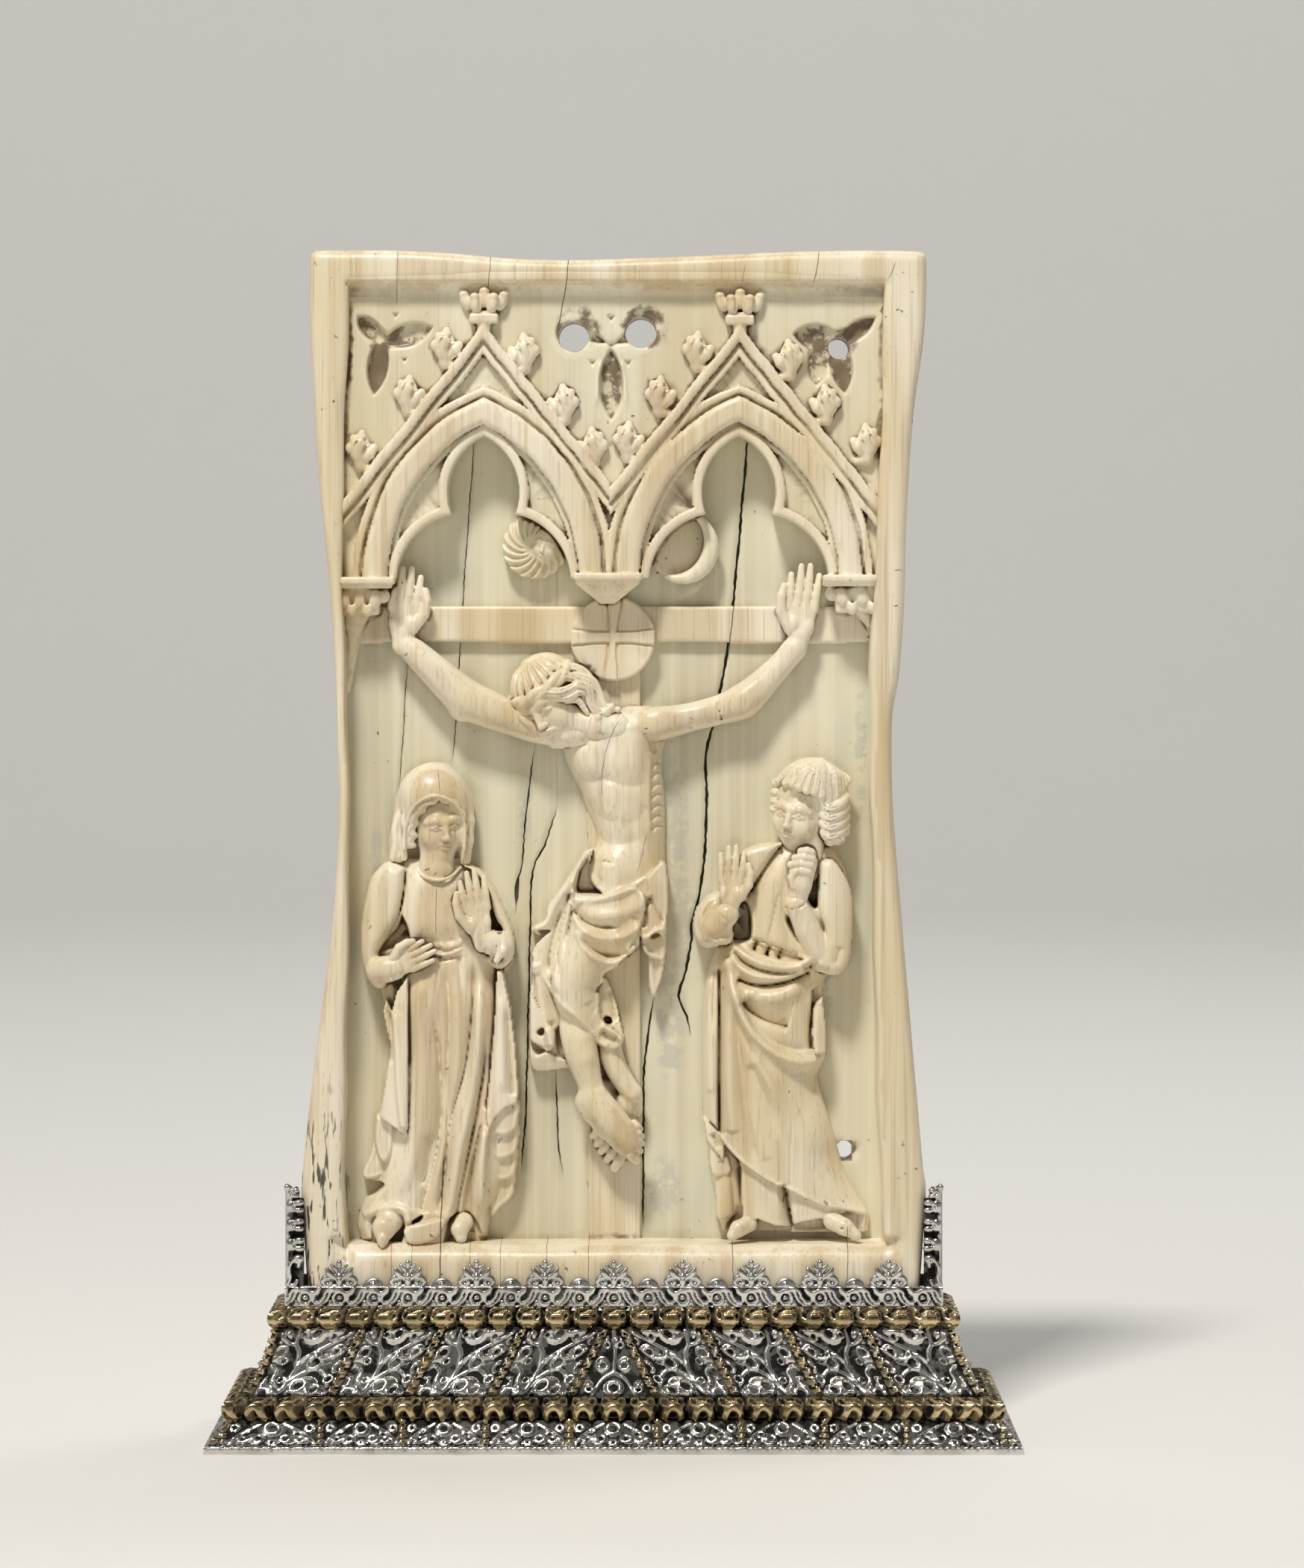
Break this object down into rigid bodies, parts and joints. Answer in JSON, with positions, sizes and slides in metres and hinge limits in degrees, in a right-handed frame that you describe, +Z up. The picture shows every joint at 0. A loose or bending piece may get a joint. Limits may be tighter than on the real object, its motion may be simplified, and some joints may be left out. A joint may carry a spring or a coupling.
{
  "type": "relief plaque on a stand",
  "caption": "Upright carved relief panel with figures under gabled arches, held in a stepped metal stand with a leafy cresting and a flared foot.",
  "frame": {"origin": "centre of the stand's underside", "axes": "+Z up, the carved front faces -Y, +X to the right as seen from the front"},
  "size_m": [0.1082, 0.034, 0.1596],
  "materials": {
    "ivory": "old carved ivory, cream, satin, with dirt in the recesses",
    "silver": "worked silver, bright on the high points and blackened in the recesses",
    "gilt": "pale worn gilding on silver, dark between the bosses"
  },
  "bodies": {
    "root": {"ivory_plaque": "ivory", "foot_flange": "silver", "lower_gilt_moulding": "gilt", "sloping_plinth": "silver", "upper_gilt_moulding": "gilt", "crest_gallery": "silver"}
  },
  "joints": []
}
